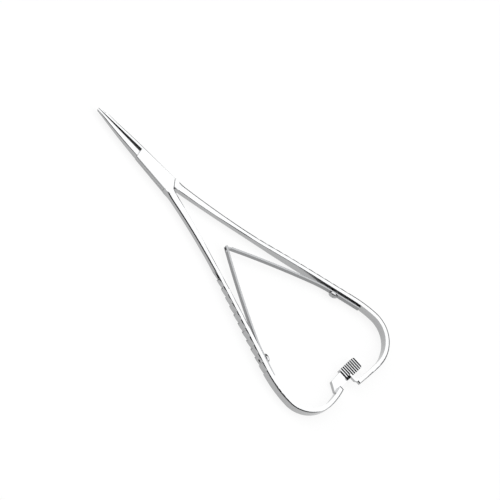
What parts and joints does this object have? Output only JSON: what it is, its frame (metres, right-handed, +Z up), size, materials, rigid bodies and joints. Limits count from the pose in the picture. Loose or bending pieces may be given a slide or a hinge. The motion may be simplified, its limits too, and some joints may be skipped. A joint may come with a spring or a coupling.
{
  "type": "needle holder",
  "caption": "Palm-grip needle holder with slim straight jaws, a box lock, ribbed bowed handles, hooked leaf springs between them and a ratchet catch across the handle ends.",
  "frame": {"origin": "midway between the jaw tips and the back of the bows, on the middle line, level with the undersides of the grips", "axes": "+X along the instrument from the jaws to the handle ends, +Y towards the handle with the pawl, +Z up through the pivot, out of the side that faces the viewer"},
  "size_m": [0.1702, 0.0616, 0.006],
  "materials": {
    "arm_steel": "satin",
    "spring_steel": "satin",
    "pin_steel": "satin"
  },
  "bodies": {
    "box_half": {"box_arm": "arm_steel", "pivot_pin": "pin_steel", "left_spring_leaf": "spring_steel", "left_spring_screw": "pin_steel"},
    "tongue_half": {"tongue_arm": "arm_steel", "right_spring_leaf": "spring_steel", "right_spring_screw": "pin_steel"}
  },
  "joints": [
    {"name": "box_pivot", "type": "hinge", "parent": "box_half", "child": "tongue_half", "pos_m": [-0.047, -0.00097, 0.003], "axis": [0, 0, 1], "range_deg": [0, 16]}
  ]
}
